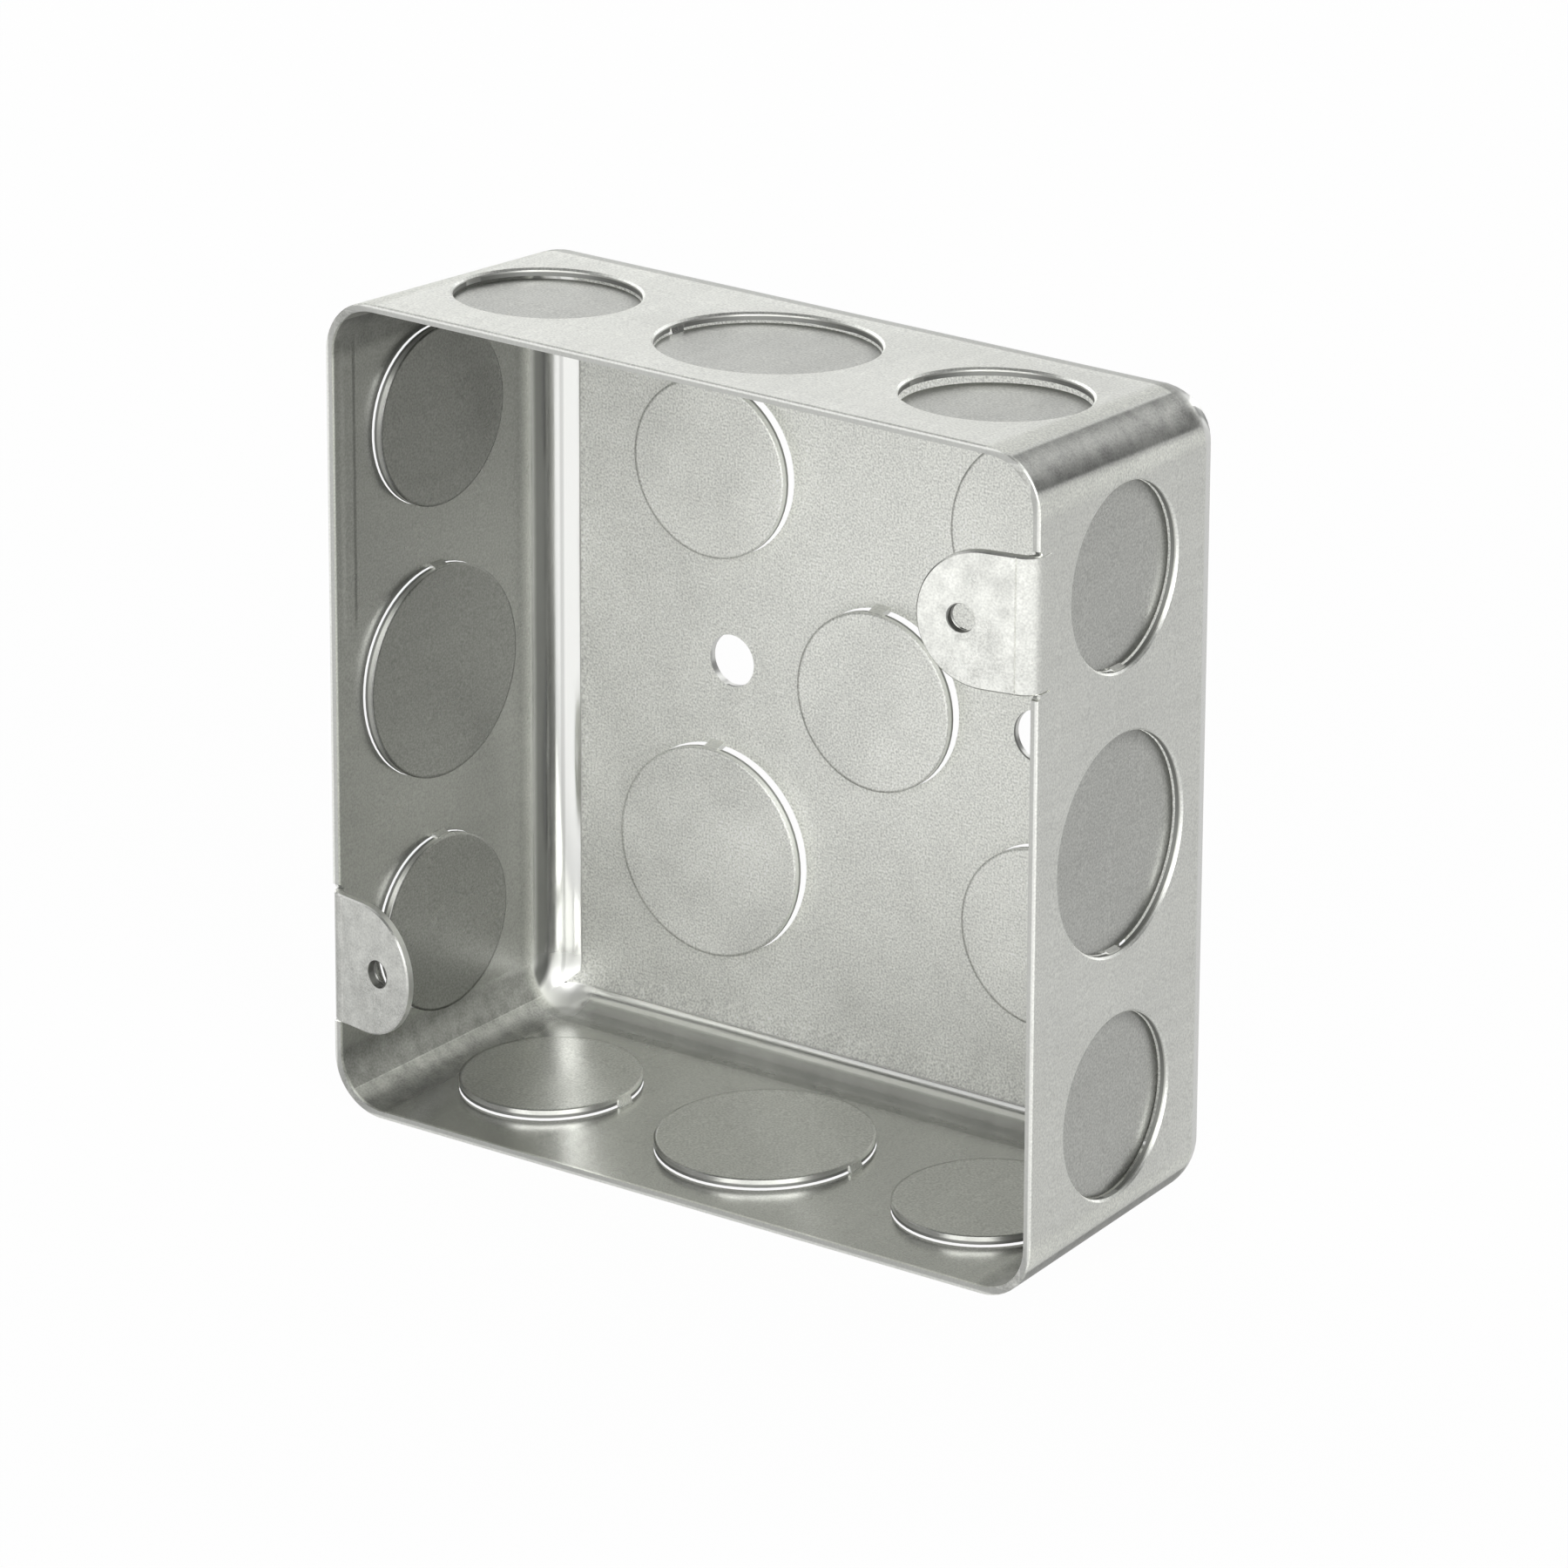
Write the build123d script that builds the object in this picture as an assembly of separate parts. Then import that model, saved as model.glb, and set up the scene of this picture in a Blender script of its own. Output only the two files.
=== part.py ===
from build123d import *
from math import atan, cos, degrees, radians, sin, tan
import os

# Square electrical box, drawn from one sheet. Millimetres: X across, Y from the open
# front to the back, Z up. Z = 0 is the low edge of the rim, which the box stands on.

# drawn shell
box_side = 101.6           # outside, across the open rim
box_depth = 40.5           # from the rim to the outside of the back
sheet = 0.95               # thickness of the steel
wall_lean = 0.043          # how far a wall leans in for each unit of depth
bend_radius = 6.9          # outside, between two walls and between a wall and the back
rim_edge_break = 0.15      # worn outer edge of the cut rim

# knockouts: discs cut free from the outside and pushed in, each left on one or two ties.
# A tie is a short web that the push stretched, from the edge of its hole to the side of
# its disc. The rim of the disc runs on above it unbroken.
small_knockout = 22.2
large_knockout = 26.4
cut_clearance = 0.05       # between a disc and its hole, at the radius
mouth_break = 0.25         # where the punch drew the edge of each wall hole in
clean_cut = 0.35           # how much of the sheet's thickness is cut through at a tie

# the row of three on each wall, with the large one in the middle
wall_row_pitch = 32.0
wall_row_setback = 18.0    # from the rim to the centre of the row
wall_push = 1.25           # how far a disc stands in from the sheet
wall_tie_width = 2.2
wall_tie_reach = 0.35      # how far a tie runs to each side of the cut

# the disc at the right of the top wall hangs deeper than the rest, and aslant
loose_push = 1.4
loose_sag = 1.1            # degrees, down at the end away from its tie

# the five in the back
back_pattern_x = 1.0       # the pattern sits a little off the middle of the box
back_pattern_z = 0.9
back_spacing = 24.2        # from the middle disc to the others, along X and along Z
back_push = 2.05
back_tie_width = 2.0
back_tie_reach = 0.5

# screw holes through the back
mounting_hole = 6.5
mounting_hole_spacing = 44.4

# ears for the cover screws, bent in from the rim
ear_height = 31.1          # from the middle of the box to the middle of an ear
ear_width = 16.3
ear_length = 14.5          # along the ear, from the outside of the wall to the tip
ear_tilt = 11.3            # degrees, the tip leans out of the box
ear_proud = 0.8            # outer face ahead of the rim, at the wall
ear_bend_radius = 2.4      # outside
ear_edge_break = 0.2
ear_relief_radius = 0.6    # notch where the rim meets the side of an ear
ear_crease = 0.08          # depth of the die mark along the bend
screw_hole = 3.4           # drilled for the thread of a cover screw
screw_hole_reach = 8.9     # along the ear, from the outside of the wall

wall_angle = degrees(atan(wall_lean))
ear_tip_lead = ear_proud + ear_length * sin(radians(ear_tilt))
rim_y = (ear_tip_lead - box_depth) / 2    # puts the whole part evenly about Y = 0
middle_z = box_side / 2
over = 1.0                 # how far a cutting tool runs past what it cuts


def rounded_block(side_at_rim, depth, bend):
    # a solid that leans in from the rim, rounded down its corners and round its back
    inset = wall_lean * depth
    far = side_at_rim - inset
    block = Wedge(side_at_rim, depth, side_at_rim, inset, inset, far, far)
    rim_edges = block.faces().sort_by(Axis.Y)[0].edges()
    block = fillet(block.edges() - rim_edges, bend)
    return Pos(0, rim_y + depth / 2, middle_z) * block


def drawn_shell():
    wall_across = sheet / cos(radians(wall_angle))    # the sheet measured square to Y
    outer = rounded_block(box_side, box_depth, bend_radius)
    outer = chamfer(outer.faces().sort_by(Axis.Y)[0].edges(), rim_edge_break)
    inner = rounded_block(box_side - 2 * wall_across, box_depth - sheet, bend_radius - sheet)
    return outer - inner


def wall_plane(outward, along, distance):
    # on the outside of a wall, facing into the box, at one place of the row
    inset = box_side / 2 - wall_lean * wall_row_setback
    place = outward * inset + along * distance
    origin = Vector(0, rim_y + wall_row_setback, middle_z) + place
    inward = outward * -cos(radians(wall_angle)) - Vector(0, sin(radians(wall_angle)), 0)
    return Plane(origin, x_dir=along, z_dir=inward)


def back_plane(x, z):
    # on the outside of the back, facing the open front, with its own X to the right
    origin = (back_pattern_x + x, rim_y + box_depth, middle_z + back_pattern_z + z)
    return Plane(origin, x_dir=(1, 0, 0), z_dir=(0, -1, 0))


def hole_tool(diameter, broken=0.0):
    # cuts a round hole through the sheet and breaks its edge at local Z = 0
    r = diameter / 2
    tool = Pos(0, 0, sheet / 2) * Cylinder(r, sheet + 2 * over)
    if broken:
        tool += Pos(0, 0, (broken - over) / 2) * Cone(r + broken + over, r, broken + over)
    return tool


def tie(radius, push, width, reach):
    # seen from its side, the web leans from the sheet at the right to the disc at the left
    in_sheet, in_disc = radius + reach, radius - reach
    web_top = push + sheet - clean_cut
    profile = Polygon(
        (in_sheet, clean_cut),
        (in_sheet, sheet),
        (radius, web_top),
        (in_disc, web_top),
        (in_disc, push),
        (radius, clean_cut),
        align=None,
    )
    return extrude(Plane.XZ * profile, width / 2, both=True)


def knockout(diameter, push, ties, tie_width, reach, broken=0.0, sag=0.0):
    # returns what to cut from the sheet and the disc to put back, at local Z = 0
    r = diameter / 2
    cutter = hole_tool(diameter, broken)
    disc = Pos(0, 0, push + sheet / 2) * Cylinder(r - cut_clearance, sheet)
    if sag:
        hinge = Rot(0, 0, ties[0]) * Pos(r - reach, 0, push)
        disc = hinge * Rot(0, sag, 0) * hinge.inverse() * disc
    for angle in ties:
        disc += Rot(0, 0, angle) * tie(r, push, tie_width, reach)
    return cutter, disc


def wall_knockouts():
    x, z = Vector(1, 0, 0), Vector(0, 0, 1)
    small = (small_knockout, wall_push)
    tied = (wall_tie_width, wall_tie_reach, mouth_break)
    low = knockout(*small, [0], *tied)
    high = knockout(*small, [180], *tied)
    middle = knockout(large_knockout, wall_push, [0, 180], *tied)
    loose = knockout(small_knockout, loose_push, [0], *tied, loose_sag)
    found = []
    for outward, along in ((z, x), (z * -1, x), (x, z), (x * -1, z)):
        upper = loose if outward.Z > 0 else high
        for step, (cutter, disc) in ((-1, low), (0, middle), (1, upper)):
            at = wall_plane(outward, along, step * wall_row_pitch).location
            found.append((at * cutter, at * disc))
    return found


def back_knockouts():
    tied = (back_tie_width, back_tie_reach)
    small = knockout(small_knockout, back_push, [90], *tied)
    large = knockout(large_knockout, back_push, [90, -90], *tied)
    layout = ((0, 0, small), (-1, 1, small), (1, -1, small), (1, 1, large), (-1, -1, large))
    found = []
    for across, up, (cutter, disc) in layout:
        at = back_plane(across * back_spacing, up * back_spacing).location
        found.append((at * cutter, at * disc))
    return found


def mounting_holes():
    tool = hole_tool(mounting_hole)
    half = mounting_hole_spacing / 2
    return [back_plane(x, 0).location * tool for x in (-half, half)]


def ear_section():
    # the ear seen from above: X runs in from the outside of the wall, Y back from the rim
    lean, tilt = radians(wall_angle), radians(ear_tilt)
    root = ear_bend_radius + 2 * over
    corner_x = -wall_lean * ear_proud / (1 + wall_lean * tan(tilt))
    corner = (corner_x, corner_x / wall_lean)
    run = ear_length - corner_x
    tip = (corner_x + run * cos(tilt), corner[1] - run * sin(tilt))
    start = (wall_lean * root, root)
    inner_start = (start[0] + sheet * cos(lean), start[1] - sheet * sin(lean))
    inner_tip = (tip[0] + sheet * sin(tilt), tip[1] + sheet * cos(tilt))
    # the inner faces meet where both offsets of the sheet are kept
    turn = radians(90) - tilt + lean
    back_off = sheet * tan(turn / 2)
    inner_corner = (
        corner[0] + back_off * sin(lean) + sheet * cos(lean),
        corner[1] + back_off * cos(lean) - sheet * sin(lean),
    )
    outside = FilletPolyline(start, corner, tip, radius=ear_bend_radius)
    inside = FilletPolyline(inner_tip, inner_corner, inner_start, radius=ear_bend_radius - sheet)
    return make_face(outside + Line(tip, inner_tip) + inside + Line(inner_start, start))


def ear_plane():
    # on the outer face of the ear, facing out, with its X from the wall to the tip
    tilt = radians(ear_tilt)
    return Plane((0, -ear_proud, 0), x_dir=(cos(tilt), -sin(tilt), 0), z_dir=(-sin(tilt), -cos(tilt), 0))


def ear():
    half = ear_width / 2
    face = ear_plane().location
    body = extrude(ear_section(), half, both=True)
    straight = ear_length - half
    outline = Pos(straight / 2 - over, 0) * Rectangle(straight + 2 * over, ear_width)
    outline += Pos(straight, 0) * Circle(half)
    reach = 3 * ear_bend_radius + ear_length
    body &= face * extrude(outline, reach, both=True)
    front = body.faces().filter_by(ear_plane()).sort_by(Axis.Y)[0]
    body = chamfer(front.edges().sort_by(Axis.X)[1:], ear_edge_break)
    bore = face * Pos(screw_hole_reach, 0, 0) * Cylinder(screw_hole / 2, 4 * sheet)
    bend_end = ear_bend_radius
    mark = face * Pos(bend_end, 0, 0) * Rot(0, 45, 0) * Box(2 * ear_crease, ear_width + over, 2 * ear_crease)
    return body - bore - mark


def ear_clearance():
    # takes the straight rim away over the ear, with a round notch at each side
    root = ear_bend_radius
    gap = Pos(0, (root - over) / 2, 0) * Box(4 * sheet, root + over, ear_width)
    for side in (-1, 1):
        notch = Rot(0, 90, 0) * Cylinder(ear_relief_radius, 4 * sheet)
        gap += Pos(0, 0, side * ear_width / 2) * notch
    return gap


def box_shell():
    shell = drawn_shell()
    right = Pos(box_side / 2, rim_y, middle_z + ear_height) * Rot(0, 180, 0)
    left = Pos(-box_side / 2, rim_y, middle_z - ear_height)
    for place in (left, right):
        shell = shell - place * ear_clearance() + place * ear()
    holes = wall_knockouts() + back_knockouts()
    shell = shell - [cutter for cutter, disc in holes] - mounting_holes()
    return shell + [disc for cutter, disc in holes]


os.makedirs("parts", exist_ok=True)
shell = box_shell()
export_step(shell, "parts/box_shell.step")
print("solids", len(shell.solids()), "volume", round(shell.volume), "box", shell.bounding_box())
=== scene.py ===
import math
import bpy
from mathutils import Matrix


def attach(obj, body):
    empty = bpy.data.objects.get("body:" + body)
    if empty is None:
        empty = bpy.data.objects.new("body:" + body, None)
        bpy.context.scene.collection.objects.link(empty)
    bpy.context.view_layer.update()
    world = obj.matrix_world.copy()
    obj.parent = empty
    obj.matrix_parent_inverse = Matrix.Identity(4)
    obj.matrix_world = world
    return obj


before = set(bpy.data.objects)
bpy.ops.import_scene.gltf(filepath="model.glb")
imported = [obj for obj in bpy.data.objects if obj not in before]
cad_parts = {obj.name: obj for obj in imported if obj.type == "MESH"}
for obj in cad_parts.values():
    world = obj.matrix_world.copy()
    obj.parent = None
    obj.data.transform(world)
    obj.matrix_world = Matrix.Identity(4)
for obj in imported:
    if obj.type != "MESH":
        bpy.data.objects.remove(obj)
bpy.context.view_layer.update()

from types import SimpleNamespace
import bpy
import bmesh
from mathutils import Matrix, Vector

scene = bpy.context.scene
scene.view_settings.view_transform = "Standard"
mm = 0.001
print("frame loaded:", sorted(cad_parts))


class Wire:  # a shader socket that can be written in sums
    def __init__(self, tree, socket=None):
        self.tree, self.socket = tree, socket

    def node(self, kind, settings=None, sockets=None, out=0):
        made = self.tree.nodes.new(kind)
        for name, value in (settings or {}).items():
            setattr(made, name, value)
        for name, value in (sockets or {}).items():
            self.plug(made.inputs[name], value)
        return Wire(self.tree, made.outputs[out]) if made.outputs else None

    def plug(self, target, value):
        if isinstance(value, Wire):
            self.tree.links.new(value.socket, target)
        else:
            target.default_value = value

    def isFlat(self, other):  # True where both sides are plain numbers
        sides = [s.socket.type for s in (self, other) if isinstance(s, Wire)]
        return all(kind == "VALUE" for kind in sides) and not isinstance(other, tuple)

    def math(self, operation, a, b=None):
        inputs = {i: v for i, v in enumerate((a, b)) if v is not None}
        return self.node("ShaderNodeMath", {"operation": operation}, inputs)

    def vector(self, operation, a, b, out=0):
        inputs = {0: a}
        if operation == "SCALE":
            inputs["Scale"] = b
        elif b is not None:
            inputs[1] = b
        return self.node("ShaderNodeVectorMath", {"operation": operation}, inputs, out)

    def combine(self, operation, a, b):
        other = b if a is self else a
        if self.isFlat(other):
            return self.math(operation, a, b)
        return self.vector(operation, a, b)

    def __add__(self, other): return self.combine("ADD", self, other)
    def __radd__(self, other): return self.combine("ADD", other, self)
    def __sub__(self, other): return self.combine("SUBTRACT", self, other)
    def __rsub__(self, other): return self.combine("SUBTRACT", other, self)

    def __mul__(self, other):
        if self.isFlat(other):
            return self.math("MULTIPLY", self, other)
        if isinstance(other, tuple) or (isinstance(other, Wire) and other.socket.type != "VALUE"):
            return self.vector("MULTIPLY", self, other)
        return self.vector("SCALE", self, other)

    __rmul__ = __mul__

    def absolute(self): return self.math("ABSOLUTE", self)
    def least(self, other): return self.math("MINIMUM", self, other)
    def most(self, other): return self.math("MAXIMUM", self, other)
    def length(self): return self.vector("LENGTH", self, None, out="Value")

    def band(self, low, high):  # 0 below low, 1 above high, smooth between
        return self.node("ShaderNodeMapRange", {"interpolation_type": "SMOOTHSTEP"},
                         {"Value": self, "From Min": low, "From Max": high})

    def between(self, start, end):  # 1 from the first pair to the second, 0 outside them
        return self.band(*start) * (1 - self.band(*end))

    def parts(self):
        split = self.tree.nodes.new("ShaderNodeSeparateXYZ")
        self.plug(split.inputs[0], self)
        return [Wire(self.tree, s) for s in split.outputs]

    def joined(self, x, y, z):
        return self.node("ShaderNodeCombineXYZ", None, {"X": x, "Y": y, "Z": z})

    def noise(self, at, size, detail, rough, seed):
        return self.node("ShaderNodeTexNoise", None,
                         {"Vector": at + (seed, 2 * seed, -seed), "Scale": 1.0 / size,
                          "Detail": detail, "Roughness": rough})

    def blendColour(self, factor, a, b):
        mix = self.tree.nodes.new("ShaderNodeMix")
        mix.data_type = "RGBA"
        self.plug(mix.inputs[0], factor)  # a Mix node keeps its colours at 6 and 7
        self.plug(mix.inputs[6], a)
        self.plug(mix.inputs[7], b)
        return Wire(self.tree, mix.outputs[2])


def newMaterial(name):
    material = bpy.data.materials.new(name)
    material.use_nodes = True
    material.node_tree.nodes.clear()
    return material, Wire(material.node_tree)


box = {  # sizes of the shell, in mm
    "rimAt": -18.43,                # the rim plane along Y
    "middle": 50.8,                 # the middle of the box up from the floor
    "lean": 0.043,
    "depth": 40.5,
    "row": (18.0, 32.0),            # the row of three on a wall: set back, and from one to the next
    "pattern": (1.0, 51.7, 24.2),   # the five in the back: middle across and up, and spacing
    "discs": (11.05, 13.15),        # radius of a small and a large disc
    "earBore": (41.98, 31.1),       # the tapped hole of an ear: across and up from the middle
    "crease": (43.9, 45.4),         # from the middle to where the flat back ends: at a side wall, below
    "dieLine": 45.95,               # from the middle to a line that the die left in the bends
}

zones = {  # where each mask starts and is full, and for most where it fades and is gone, in mm
    "insideWall": (0.5, 0.7),                       # in from the outside of a wall
    "insideEnd": (33.0, 36.0),                      # back from the rim
    "wallAlong": ((0.3, 0.5), (32.6, 33.2)),
    "wallSide": (43.4, 43.8),                       # from the middle of a wall
    "backStart": (36.0, 36.3),
    "creaseFade": (-0.15, 0.1),
    "rimOut": (49.3, 49.5),
    "rimEdge": (0.10, 0.16),
    "earEnd": (0.2, 0.4),
    "earOut": (49.5, 49.7),
    "earRoot": (47.9, 48.3),
    "wallTorn": ((0.38, 0.5), (1.55, 1.75)),        # in from the outside of a wall
    "backTorn": ((0.5, 0.7), (2.3, 2.55)),          # in from the outside of the back
    "rimTorn": (0.3, 0.5),
    "backTie": (1.1, 1.4),                          # from the middle of a tie
    "wallTie": (1.2, 1.5),
    "disc": ((1.08, 1.16), (2.6, 2.8)),             # the discs stand in from the sheet
    "discAlong": ((4.2, 4.5), (31.6, 32.0)),
    "discInner": (1.7, 1.9),
    "discFace": (1.9, 2.0),
    "backDiscFace": (2.5, 2.7),
    "backHalf": (34.5, 35.0),
    "innerStart": (0.2, 0.5),
    "bent": (34.7, 35.4),
    "corner": (42.5, 44.0),
    "outer": (0.3, 0.6),
    "sides": (-1.0, 1.0),                           # from the left half to the right half
    "halves": (49.0, 52.0),                         # from the lower half to the upper half
    "leftTopShadow": (30.0, 95.0),
    "stainEdge": (-2.2, 0.3),                       # from the edge of a disc
    "stainAlong": (10.0, 26.0),
    "sideFold": ((46.9, 47.4), (47.85, 48.4)),      # from the middle of the box
    "lowFoldShade": (47.5, 47.9),
    "lowFoldAlong": (33.4, 33.9),
    "dieLine": (0.08, 0.3),
    "bore": (1.72, 1.78),
    "bendCorner": (40.5, 43.5),
    "lowWall": (10.0, 20.0),
    "groove": ((1.2, 2.2), (3.4, 4.1)),             # a die mark inside the left wall
    "grooveUp": ((58.0, 62.0), (94.0, 97.0)),
    "tightAlong": (31.3, 34.0),
    "tightOut": (41.6, 42.45),
    "tightCorner": (41.5, 44.5),
    "square": (0.55, 0.8),                          # how squarely a face stands to its wall or the back
    "rimSquare": (0.85, 0.95),
    "earSquare": (0.6, 0.8),
}


def knockoutEdges(m):  # how far a place is outside the nearest disc: below 0 on the disc itself
    small, large = box["discs"]
    setBack, pitch = box["row"]
    middleX, middleZ, spacing = box["pattern"]
    along = m.depth - setBack
    middle = m.t.joined(m.near, along, 0.0).length() - large
    outer = m.t.joined(m.near - pitch, along, 0.0).length() - small
    u, v = m.x - middleX, m.z - middleZ
    bigger = (u * v).math("GREATER_THAN", u * v, 0.0) * (large - small) + small
    corner = m.t.joined(u.absolute() - spacing, v.absolute() - spacing, 0.0).length() - bigger
    centre = m.t.joined(u, v, 0.0).length() - small
    onWalls, onPlate = middle.least(outer), corner.least(centre)
    return onWalls + (onPlate - onWalls) * m.depth.band(*zones["backHalf"])


def findZones(t):  # one mask for each part of the shell
    m = SimpleNamespace(t=t)
    m.at = t.node("ShaderNodeTexCoord", out="Object") * (1 / mm)    # millimetres in the frame
    normal = t.node("ShaderNodeNewGeometry", out="True Normal")
    m.x, y, m.z = m.at.parts()
    nx, ny, nz = [n.absolute() for n in normal.parts()]
    m.depth = y - box["rimAt"]
    m.across, m.up = m.x.absolute(), (m.z - box["middle"]).absolute()
    m.level = m.up.math("GREATER_THAN", m.up, m.across)             # 1 on the top and lower walls
    m.far, m.near = m.up.most(m.across), m.up.least(m.across)
    inward = box["middle"] - box["lean"] * m.depth - m.far          # from the outside of a wall
    backIn = box["depth"] - m.depth
    m.leftSide = 1 - m.x.band(*zones["sides"])
    m.upperHalf = m.z.band(*zones["halves"])
    m.inside = inward.band(*zones["insideWall"]) * (1 - m.depth.band(*zones["insideEnd"]))

    beside, below = box["crease"]
    startFade, endFade = zones["creaseFade"]
    m.pastCrease = (m.far - m.level * (below - beside)).band(beside + startFade, beside + endFade)
    m.onBack = m.depth.band(*zones["backStart"]) * (1 - m.pastCrease)
    m.onRim = m.far.band(*zones["rimOut"]) * (1 - m.depth.absolute().band(*zones["rimEdge"]))
    m.onEar = (1 - m.depth.band(*zones["earEnd"])) * (1 - m.far.band(*zones["earOut"]))
    onWall = m.depth.between(*zones["wallAlong"]) * (1 - m.near.band(*zones["wallSide"]))

    # the sheet's sheared edges: faces that stand square to the wall or back they belong to
    wallFacing = nx + (nz - nx) * m.level
    earSide = nz.most((1 - ny) * (1 - m.across.band(*zones["earRoot"])))
    sheared = onWall * (1 - wallFacing).band(*zones["square"])
    sheared = sheared.most(m.onBack * (1 - ny).band(*zones["square"]))
    sheared = sheared.most(m.onRim * ny.band(*zones["rimSquare"]))
    m.sheared = sheared.most(m.onEar * earSide.band(*zones["earSquare"]))
    wallTorn = inward.between(*zones["wallTorn"]) * onWall
    backTorn = backIn.between(*zones["backTorn"]) * m.onBack
    fromMiddle = (m.x - box["pattern"][0]).absolute()
    fromTie = (fromMiddle - box["pattern"][2]).absolute().least(fromMiddle)
    backTie = 1 - fromTie.band(*zones["backTie"])
    wallTie = 1 - (m.depth - box["row"][0]).absolute().band(*zones["wallTie"])
    atTie = backTie * m.onBack + wallTie * (1 - m.onBack)
    rimTorn = m.onRim * inward.band(*zones["rimTorn"]) * wear["rimTorn"]
    m.torn = m.sheared * (wallTorn.most(backTorn) * (1 - atTie)).most(rimTorn)

    # the discs stand in from the sheet
    m.onDisc = inward.between(*zones["disc"]) * m.depth.between(*zones["discAlong"])
    m.onDisc = m.onDisc * (1 - m.near.band(*zones["wallSide"]))
    m.dulled = m.onDisc * (1 - m.sheared)
    outerSide = 1 - inward.band(*zones["discInner"])
    m.innerFace = m.inside * (1 - m.onDisc * outerSide) * (1 - m.sheared)
    notEar = m.depth.band(*zones["innerStart"]) * (1 - inward.band(*zones["disc"][1]))
    m.innerFace = m.innerFace * notEar
    backDisc = m.onBack * backIn.band(*zones["backDiscFace"])
    m.discFace = (m.onDisc * inward.band(*zones["discFace"])).most(backDisc) * (1 - m.sheared)
    m.edge = knockoutEdges(m)
    # painted shade: the outer face of a disc darkens near its edge, more towards the back, where the
    # side of its hole shades it
    stained = m.edge.band(*zones["stainEdge"]) * m.depth.band(*zones["stainAlong"])
    m.stain = m.onDisc * outerSide * stained

    m.bent = m.depth.band(*zones["bent"]) * (1 - m.onBack)
    m.corner = m.near.band(*zones["corner"])
    m.outer = (1 - inward.band(*zones["outer"])) * (1 - m.onBack)
    sideFold = m.far.between(*zones["sideFold"]) * m.bent
    lowFoldShade = m.far.band(*zones["lowFoldShade"]) * m.depth.band(*zones["lowFoldAlong"]) * (1 - m.onBack)
    m.fold = sideFold + (lowFoldShade * wear["lowFoldShade"] - sideFold) * m.level
    dieLine = 1 - (m.far - box["dieLine"]).absolute().band(*zones["dieLine"])
    m.dieLine = dieLine * m.bent * (1 - m.level)
    boreAcross, boreUp = box["earBore"]
    fromBore = t.joined(m.across - boreAcross, m.up - boreUp, 0.0).length()
    m.inBore = m.onEar * (1 - fromBore.band(*zones["bore"]))
    return m


grain = {  # size in mm, detail, roughness and seed of each pattern
    "fine": (0.26, 0.0, 0.5, 1.0),
    "coarse": (2.2, 1.0, 0.6, 2.0),
    "cloud": (11.0, 1.0, 0.55, 3.0),
    "smudge": (34.0, 0.0, 0.5, 4.0),
    "drawn": (1.3, 0.0, 0.6, 5.0),                  # lines the die drew along the depth
    "stretch": (1.0, 0.05, 1.0),
}


def addGrain(t, m):  # coating grain, rolling marks and handling
    m.fine = t.noise(m.at, *grain["fine"])
    m.coarse = t.noise(m.at, *grain["coarse"])
    m.cloud = t.noise(m.at, *grain["cloud"])
    m.smudge = t.noise(m.at, *grain["smudge"])
    m.drawn = t.noise(m.at * grain["stretch"], *grain["drawn"])
    onWalls = (1 - m.onBack) * (m.onDisc * wear["discGrain"] + wear["wallGrain"])
    m.grainy = (m.onBack + onWalls) * (1 - m.bent * wear["bendGrain"])


zinc = {
    "colour": (0.820, 0.828, 0.786),        # clean zinc
    "dullColour": (0.74, 0.747, 0.706),     # handled and oxidised patches
    "edgeColour": (0.88, 0.885, 0.86),      # bare sheared steel
    "bendColour": (0.94, 0.945, 0.92),      # polished by the die
    "foldColour": (0.22, 0.223, 0.215),     # painted shade in the part of a bend next to its wall
    "tornAndGapShade": (0.20, 0.203, 0.193),     # the torn half of a sheared edge, made darker still as painted shade for the gap beside it
    "discShading": (0.78, 0.74, 0.74, 1.06),  # painted shade on the discs by wall, and painted light on the lower wall's: left wall, right wall, top, lower wall
    "innerShades": (0.44, 0.62, 0.60),       # painted shade on the inner faces: left wall, lower wall, the others
    "upperShadow": 0.72,                      # painted shadow: the left wall is darker near its top, under the top wall
    "upperDiscShadow": 0.5,                      # and its discs by half of that
    # painted shade: the left ear is darker than the right
    "leftEarShade": 0.70,
    "plateTone": 1.03,
    "outerLight": 0.05,                      # painted light: the outer faces are this much brighter
    # painted shade inside the ear's tapped hole
    "boreShade": 0.3,
    "metal": 0.93,                          # the rest is the matt skin of the coating
    "plateMetal": 0.75,
}

wear = {  # how strongly each mark, and each painted shade, shows on the zinc
    "fine": 0.80,
    "wallGrain": 0.55,                              # share of the grain that the walls have
    "discGrain": 0.2,
    "bendGrain": 0.6,                               # share of it that the bends lose
    "earBlotch": 0.5,
    "backBlotch": 0.12,
    "cornerBlotch": 0.6,
    "cornerShade": 0.22,
    "cloud": 0.10,
    "discCloud": 0.25,
    "smudge": 0.10,
    "drawn": 0.08,
    "dull": 0.5,
    "dullFrom": (0.42, 0.68),
    "stain": 0.45,
    "lowFoldShade": 0.45,
    "dieLine": 0.25,
    "edge": 0.8,
    "rimEdge": 0.35,
    "torn": 0.8,
    "rimTorn": 0.6,
}


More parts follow.
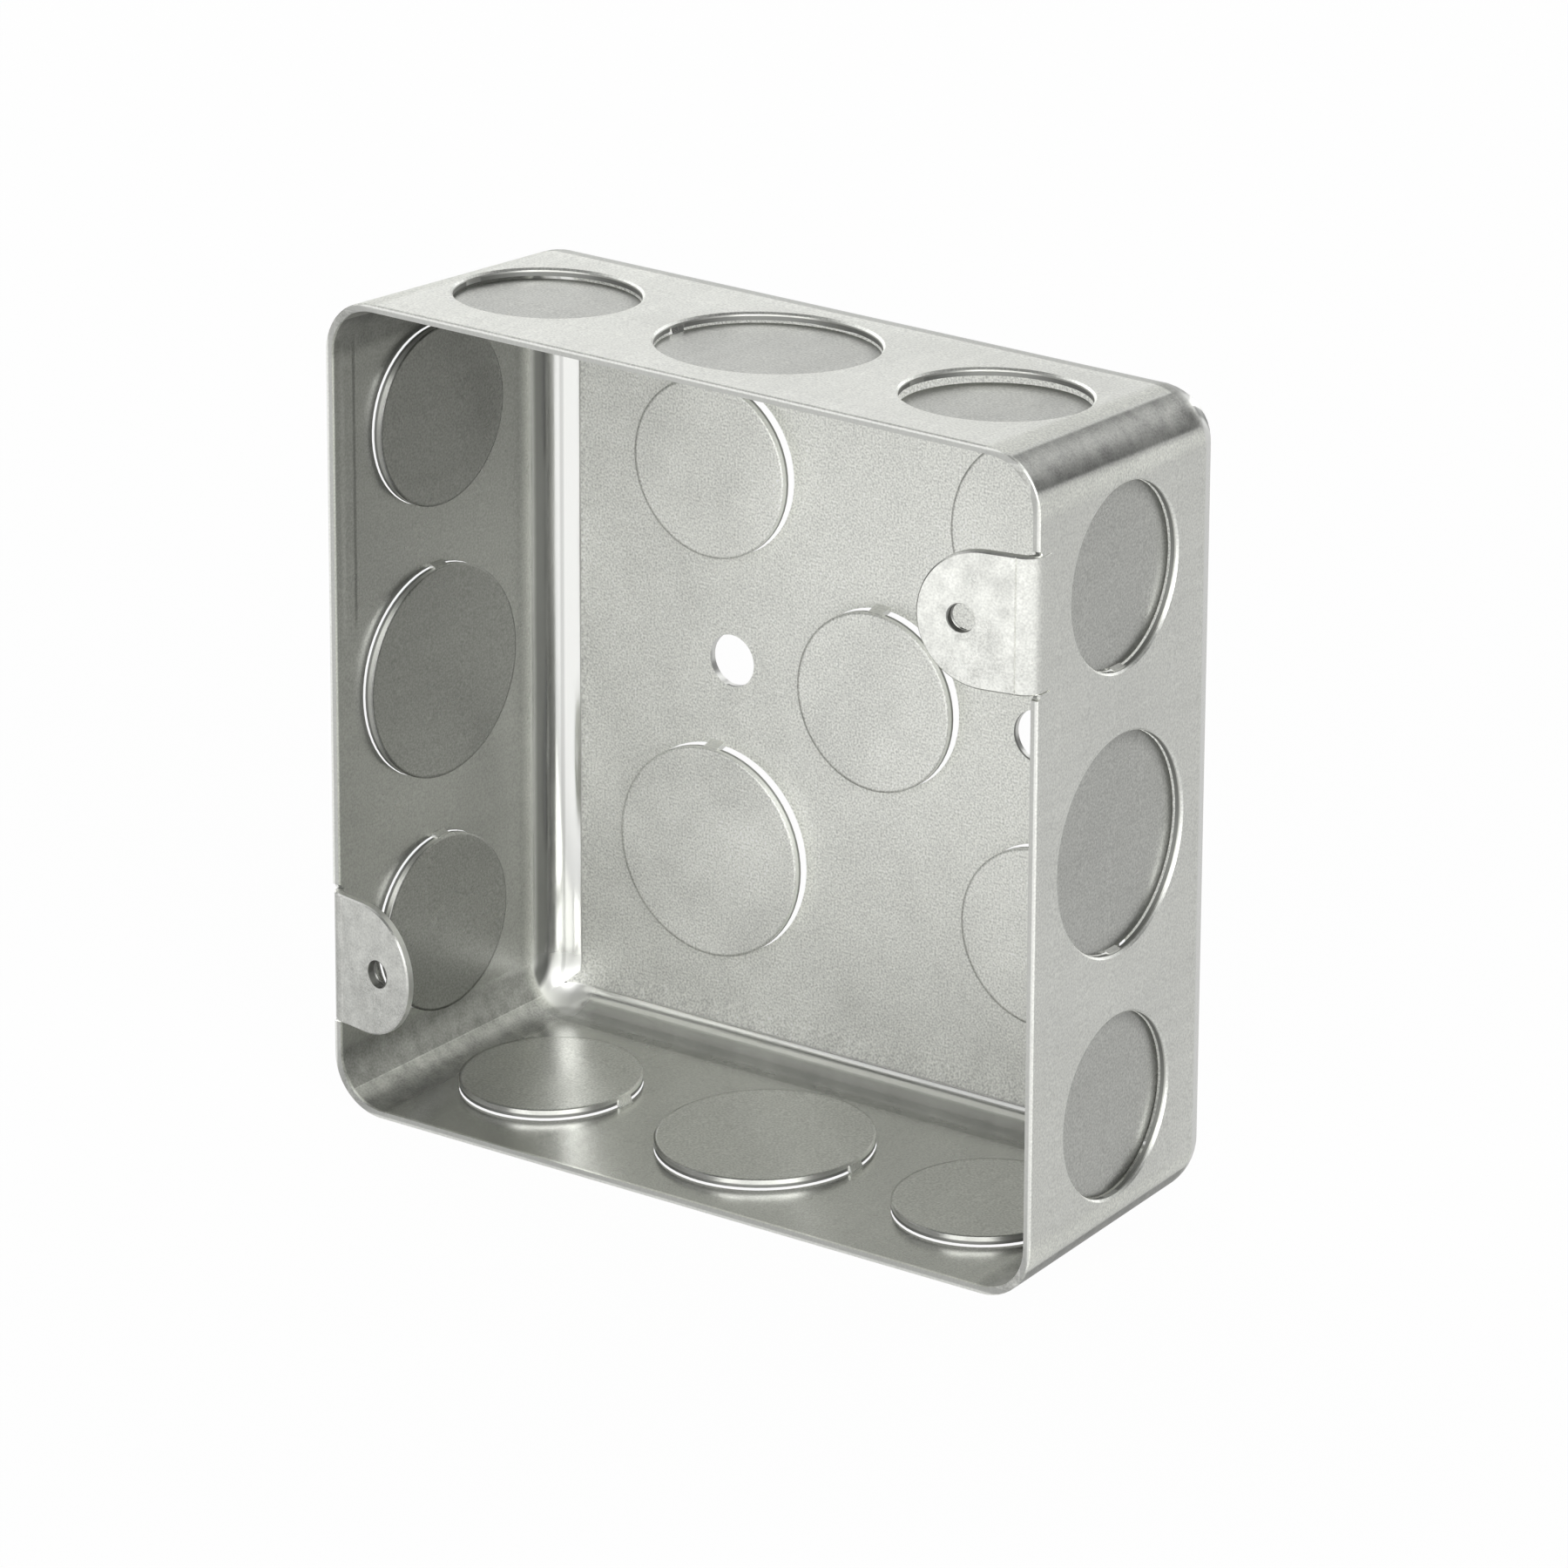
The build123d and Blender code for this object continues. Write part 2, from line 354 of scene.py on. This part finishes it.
def zincColour(t, m):
    inCorner = m.corner * m.inside
    blotch = m.onEar * wear["earBlotch"] + m.onBack * wear["backBlotch"]
    blotch = blotch + inCorner * wear["cornerBlotch"]
    tone = (m.fine - 0.5) * wear["fine"] * m.grainy + (m.coarse - 0.5) * blotch
    # painted shade in the inner corners
    tone = tone - inCorner * wear["cornerShade"]
    tone = tone + (m.cloud - 0.5) * (m.discFace * m.onBack * wear["discCloud"] + wear["cloud"])
    tone = tone + (m.smudge - 0.5) * wear["smudge"] + (m.drawn - 0.5) * wear["drawn"] * (1 - m.onBack)
    dull = m.smudge.band(*wear["dullFrom"]) * wear["dull"]
    colour = t.blendColour(dull, zinc["colour"] + (1,), zinc["dullColour"] + (1,)) * (tone + 1.0)

    # painted shade: the discs are darker on the left, right and top walls, and painted light makes them
    # lighter on the lower wall
    left, right, top, low = zinc["discShading"]
    sideTone = m.leftSide * (left - right) + right
    levelTone = m.upperHalf * (top - low) + low
    discShade = sideTone + (levelTone - sideTone) * m.level
    # painted shade: the inner faces are darker, the left wall most
    leftInner, lowInner, restInner = zinc["innerShades"]
    sideInner = m.leftSide * (leftInner - restInner) + restInner
    levelInner = m.upperHalf * (restInner - lowInner) + lowInner
    innerShade = sideInner + (levelInner - sideInner) * m.level
    colour = colour * (1 - m.dulled * (1 - discShade)) * (1 - m.innerFace * (1 - innerShade))
    # painted shadow of the top wall on the upper part of the left wall and its discs
    leftTopShadow = m.innerFace.most(m.dulled * zinc["upperDiscShadow"]) * m.inside
    leftTopShadow = leftTopShadow * m.leftSide * (1 - m.level) * m.z.band(*zones["leftTopShadow"])
    colour = colour * (1 - leftTopShadow * (1 - zinc["upperShadow"]))
    # painted light on the outer faces
    colour = colour * (m.onBack * (zinc["plateTone"] - 1) + m.outer * zinc["outerLight"] + 1)
    # painted shade at the edges of the discs
    colour = colour * (1 - m.stain * wear["stain"])

    colour = t.blendColour(m.bent, colour, zinc["bendColour"] + (1,))
    colour = colour * (1 - m.dieLine * wear["dieLine"])
    # painted shade in the fold of each bend next to its wall
    colour = t.blendColour(m.fold, colour, zinc["foldColour"] + (1,))
    # painted shade on the left ear
    colour = colour * (1 - m.onEar * m.leftSide * (1 - zinc["leftEarShade"]))
    bare = m.sheared * (wear["edge"] - m.onRim * wear["rimEdge"])
    colour = t.blendColour(bare, colour, zinc["edgeColour"] + (1,))
    # the torn half of the sheared edges, with painted shade for the gap beside them
    colour = t.blendColour(m.torn * wear["torn"], colour, zinc["tornAndGapShade"] + (1,))
    # painted shade inside the ear's tapped hole
    return colour * (1 - m.inBore * (1 - zinc["boreShade"]))


roughness = {
    "wall": 0.30,
    "outer": 0.42,
    "plate": 0.55,                                  # the back keeps the coarse skin of the coating
    "bend": 0.16,
    "lowWall": 0.24,                                # the lower wall mirrors the bend behind it
    "edge": 0.30,
    "cloud": 0.14,                                  # the rest is added where its mask is full
    "coarse": 0.10,
    "bendCorner": 0.22,
    "lowBend": 0.05,
    "corner": 0.10,
    "outerCorner": 0.22,
    "lowDisc": 0.08,
    "torn": 0.25,
}


def zincRoughness(m):
    wall = roughness["wall"]
    rough = wall + (roughness["plate"] - wall) * m.onBack
    rough = rough + (m.cloud - 0.5) * roughness["cloud"] + (m.coarse - 0.5) * roughness["coarse"]
    rough = rough + (roughness["bend"] - wall) * m.bent + (roughness["outer"] - wall) * m.outer
    bendCorner = m.near.band(*zones["bendCorner"]) * roughness["bendCorner"]
    rough = rough + (bendCorner + m.level * roughness["lowBend"]) * m.bent
    rough = rough + m.corner * (1 - m.bent) * (m.outer * roughness["outerCorner"] + roughness["corner"])
    lowWall = m.inside * m.level * (1 - m.z.band(*zones["lowWall"]))
    rough = rough + (roughness["lowWall"] - wall) * lowWall
    rough = rough + m.dulled * m.level * m.inside * roughness["lowDisc"]
    return rough + (roughness["edge"] - rough) * m.sheared + m.torn * roughness["torn"]


relief = {  # heights in mm
    "fine": 0.004,
    "coarse": 0.010,
    "drawn": 0.003,
    "backCloud": 0.16,
    "wallCloud": 0.06,
    "roll": 0.38,                                   # how far in a disc's edge is rolled over
    "rollDrop": 0.5,                                # and how steeply it ends
    "groove": 0.10,
    # share of a bend's turn that is left out: at a side wall, at the back beside it, the same two below
    "tight": (0.06, 0.24, 0.40, 0.62),
    "flat": 0.5,                                    # the same before the crease
    "cornerTight": 0.6,
}


def zincRelief(t, m):
    notBack = 1 - m.onBack
    height = m.fine * relief["fine"] * m.grainy + m.coarse * relief["coarse"] * m.onBack
    height = height + m.drawn * relief["drawn"] * notBack
    height = height + m.cloud * relief["backCloud"] * m.onBack + m.cloud * relief["wallCloud"] * notBack
    rolled = (m.edge + relief["roll"]).most(0.0) * m.discFace
    height = height - rolled * rolled * (relief["rollDrop"] / relief["roll"])
    (start, full), (fade, gone) = zones["groove"]
    groove = m.depth.band(start, full) - m.depth.band(fade, gone)
    groove = groove * m.z.between(*zones["grooveUp"]) * m.inside * m.leftSide
    height = height - groove * relief["groove"]

    # the bends into the back turn sharply past their crease and are nearly flat at both ends
    smooth = t.node("ShaderNodeNewGeometry", out="Normal")
    flat, (sideCut, backCut, lowCut, lowBackCut) = relief["flat"], relief["tight"]
    backTurn = backCut + m.level * (lowBackCut - backCut)
    sideTurn = flat + m.pastCrease * (sideCut - flat)
    lowTurn = flat + m.pastCrease * (lowCut - flat)
    cut = t.joined(sideTurn, backTurn, lowTurn)
    ends = smooth.vector("MINIMUM", smooth.vector("MAXIMUM", smooth, cut * -1), cut)
    inBend = m.depth.band(*zones["tightAlong"]) * m.far.band(*zones["tightOut"])
    turned = smooth - ends * (inBend * (1 - m.near.band(*zones["tightCorner"]) * relief["cornerTight"]))
    sharper = turned.vector("NORMALIZE", turned, None)
    return t.node("ShaderNodeBump", None,
                  {"Strength": 1.0, "Distance": 1.0 * mm, "Height": height, "Normal": sharper})


def makeZinc():
    material, t = newMaterial("zincSheet")
    m = findZones(t)
    addGrain(t, m)
    metal = zinc["metal"] + (zinc["plateMetal"] - zinc["metal"]) * m.onBack
    shader = t.node("ShaderNodeBsdfPrincipled", None,
                    {"Base Color": zincColour(t, m), "Metallic": metal, "Roughness": zincRoughness(m),
                     "Normal": zincRelief(t, m)})
    t.node("ShaderNodeOutputMaterial", None, {"Surface": shader})
    return material


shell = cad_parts["box_shell"]
shell.data.materials.clear()
shell.data.materials.append(makeZinc())
print("shell dressed:", len(shell.data.polygons), "faces")


thread = {  # 8-32, in mm
    "reach": 0.95,      # through the sheet of the ear
    "pitch": 0.79,
    "root": 1.72,
    "crest": 1.54,
    "turns": 0.76,
    "steps": 60,
    "fadeIn": 8,        # the ridge comes and goes within one part in eight
    "rootHalf": 0.16,   # half the width of the ridge
    "crestHalf": 0.03,
}
earHoles = {  # the middle of the hole on the ear's face in mm, and how far the face leans
    "earThreadRight": ((41.98, -20.508, 81.9), 0.196),
    "earThreadLeft": ((-41.98, -20.508, 19.7), -0.196),
}


def makeThread(name, place, lean, look):
    out = Vector((lean, -math.sqrt(1 - lean * lean), 0))     # out of the ear's face
    side, up = Vector((-out.y, out.x, 0)), Vector((0, 0, 1))
    mesh, form = bpy.data.meshes.new(name), bmesh.new()
    root, rootHalf, crestHalf = look["root"], look["rootHalf"], look["crestHalf"]
    rings = []
    for step in range(look["steps"] + 1):
        share = step / look["steps"]
        ends = min(1.0, look["fadeIn"] * share, look["fadeIn"] * (1 - share))
        crest = root - (root - look["crest"]) * ends          # the ridge runs out at both faces
        turn = 2 * math.pi * look["turns"] * share
        way = side * math.cos(turn) + up * math.sin(turn)
        sunk = look["reach"] / 2 + look["pitch"] * look["turns"] * (share - 0.5)
        ring = []
        profile = ((root, -rootHalf), (crest, -crestHalf), (crest, crestHalf), (root, rootHalf))
        for radius, shift in profile:
            point = Vector(place) + way * radius - out * (sunk + shift)
            ring.append(form.verts.new(point * mm))
        rings.append(ring)
    for a, b in zip(rings, rings[1:]):
        for i in range(4):
            form.faces.new((a[i], a[(i + 1) % 4], b[(i + 1) % 4], b[i]))
    form.faces.new(rings[0])
    form.faces.new(rings[-1][::-1])
    bmesh.ops.recalc_face_normals(form, faces=form.faces)
    form.to_mesh(mesh)
    form.free()
    piece = bpy.data.objects.new(name, mesh)
    scene.collection.objects.link(piece)
    piece.data.materials.append(shell.data.materials[0])
    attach(piece, "root")


for name, (place, lean) in earHoles.items():
    makeThread(name, place, lean, thread)
print("ear threads cut:", len(earHoles))


stageLook = {
    "size": 6.0,            # metres
    "colour": (0.95, 0.95, 0.95, 1),
    "shadow": 0.03,         # how much of the floor's own shade is seen on the white
    "room": 0.08,           # plain light from all round
    "mirrored": 0.85,       # how much of the white the metal shows
    # how bright the floor glows in reflections behind the box
    "mirroredTone": 0.57,
    "brightFrom": (0.0, 0.06),  # painted light: the floor glows brighter in reflections in front of the box
    "lampDistance": 1.6,
    "lampAim": 0.05,        # the lamps point this high above the floor
}
lamps = {  # compass direction from the box (0 is the back), height in degrees, size in metres, watts
    "backLow": (5, 10, 0.7, 3.6),
    "backHigh": (10, 35, 0.75, 2.2),
    "rightLow": (90, 10, 0.7, 1.7),
    "rightFrontLow": (120, 10, 0.7, 5),
    "rightFront": (120, 35, 0.75, 5.7),
    "frontRightLow": (150, 10, 0.7, 2.9),
    "frontRight": (150, 35, 0.75, 4.7),
    "frontLow": (180, 10, 0.7, 6.8),
    "frontLeft": (228, 35, 0.75, 1.1),
    "left": (270, 38, 0.75, 2.6),
    "leftBackLow": (300, 10, 0.7, 2.3),
    "leftBack": (300, 35, 0.75, 4.6),
    "backLeftLow": (330, 10, 0.7, 0.7),
    "backLeft": (330, 35, 0.75, 1.8),
}


def makeFloor(look):
    bpy.ops.mesh.primitive_plane_add(size=look["size"], location=(0, 0, 0))
    floor = bpy.context.object
    floor.name = "floorSheet"
    material, t = newMaterial("floorPaint")
    seen = t.node("ShaderNodeLightPath", out="Is Camera Ray")
    mirrored = t.node("ShaderNodeLightPath", out="Is Glossy Ray")
    across, along, up = t.node("ShaderNodeTexCoord", out="Object").parts()
    # painted light: the floor seen in the metal glows brighter in front of the box
    bright = (along * -1).band(*look["brightFrom"])
    tone = look["mirroredTone"] + (1.0 - look["mirroredTone"]) * bright.most(seen)
    paint = t.node("ShaderNodeBsdfDiffuse", None, {"Color": look["colour"]})
    white = t.node("ShaderNodeEmission", None, {"Color": t.joined(tone, tone, tone), "Strength": 1.0})
    share = seen * (1.0 - look["shadow"]) + mirrored * look["mirrored"]
    both = t.node("ShaderNodeMixShader", None, {0: share, 1: paint, 2: white})
    t.node("ShaderNodeOutputMaterial", None, {"Surface": both})
    floor.data.materials.append(material)


def makeWorld(look):
    world = bpy.data.worlds.new("studio")
    scene.world = world
    world.use_nodes = True
    world.node_tree.nodes.clear()
    t = Wire(world.node_tree)
    seen = t.node("ShaderNodeLightPath", out="Is Camera Ray")
    room = t.node("ShaderNodeBackground", None, {"Color": (1, 1, 1, 1), "Strength": look["room"]})
    white = t.node("ShaderNodeBackground", None, {"Color": (1, 1, 1, 1), "Strength": 1.0})
    both = t.node("ShaderNodeMixShader", None, {0: seen, 1: room, 2: white})
    t.node("ShaderNodeOutputWorld", None, {"Surface": both})


def makeLamp(name, turn, height, size, watts):
    data = bpy.data.lights.new(name, "AREA")
    data.shape, data.size, data.energy = "SQUARE", size, watts
    lamp = bpy.data.objects.new(name, data)
    scene.collection.objects.link(lamp)
    turn, height = math.radians(turn), math.radians(height)
    level = math.cos(height)
    way = Vector((level * math.sin(turn), level * math.cos(turn), math.sin(height)))
    lamp.location = Vector((0, 0, stageLook["lampAim"])) + way * stageLook["lampDistance"]
    lamp.rotation_euler = (-way).to_track_quat("-Z", "Y").to_euler()


makeFloor(stageLook)
makeWorld(stageLook)
for name, values in lamps.items():
    makeLamp(name, *values)
print("stage lit by", len(lamps), "lamps")


viewpoint = {
    "place": (0.608747, -0.820694, 0.420495),
    "turn": 36.467,     # degrees to the left of straight back
    "down": 20.084,
    "roll": 0.25,
    "lens": 214.355,
    "film": 36.0,
    "clip": (0.05, 20.0),
}


def makeCamera(look):
    turn, down, roll = (math.radians(look[k]) for k in ("turn", "down", "roll"))
    ahead = Vector((-math.sin(turn) * math.cos(down), math.cos(turn) * math.cos(down), -math.sin(down)))
    level = Vector((math.cos(turn), math.sin(turn), 0))
    above = level.cross(ahead)
    right = level * math.cos(roll) + above * math.sin(roll)
    top = above * math.cos(roll) - level * math.sin(roll)
    data = bpy.data.cameras.new("photoView")
    data.lens, data.sensor_width = look["lens"], look["film"]
    data.clip_start, data.clip_end = look["clip"]
    camera = bpy.data.objects.new("photoView", data)
    scene.collection.objects.link(camera)
    facing = Matrix((right, top, -ahead)).transposed().to_4x4()
    camera.matrix_world = Matrix.Translation(look["place"]) @ facing
    scene.camera = camera


makeCamera(viewpoint)
